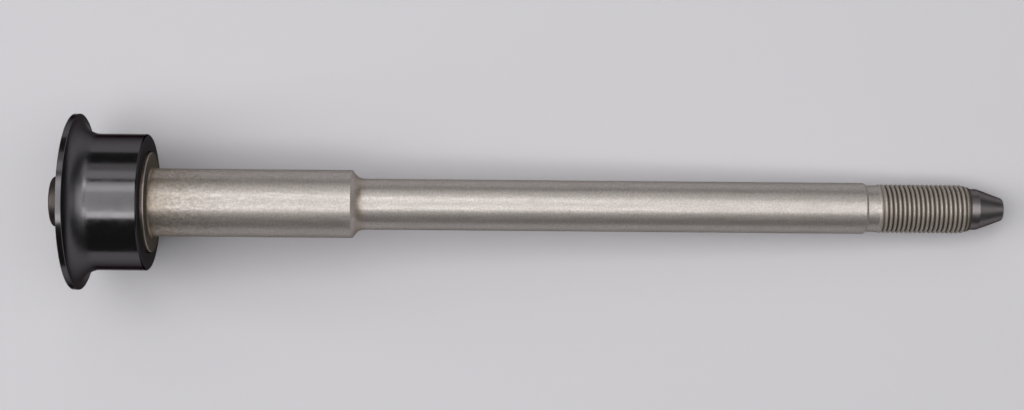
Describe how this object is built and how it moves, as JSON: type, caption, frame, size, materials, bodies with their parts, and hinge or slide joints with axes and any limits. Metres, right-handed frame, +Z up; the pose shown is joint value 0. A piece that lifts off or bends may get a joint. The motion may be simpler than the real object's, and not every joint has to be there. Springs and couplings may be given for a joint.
{
  "type": "turned axle",
  "caption": "Turned steel through axle with a stepped shaft, fine-threaded end, black flared flange head and tapered pilot tip.",
  "frame": {"origin": "centre of the footprint on the surface that the axle lies on", "axes": "+X runs from the head towards the threaded tip, +Z is up; the centre line leans down towards the tip because the flange is wider than the thread"},
  "size_m": [0.3128, 0.058, 0.058],
  "materials": {
    "satin_steel": "satin turned steel with a fine mottled grain and faint brown staining beside the collar",
    "black_anodised": "glossy black anodised",
    "black_plastic": "semi-gloss black plastic"
  },
  "bodies": {
    "root": {"axle_shaft": "satin_steel", "flanged_head": "black_anodised", "pilot_tip": "black_plastic"}
  },
  "joints": []
}
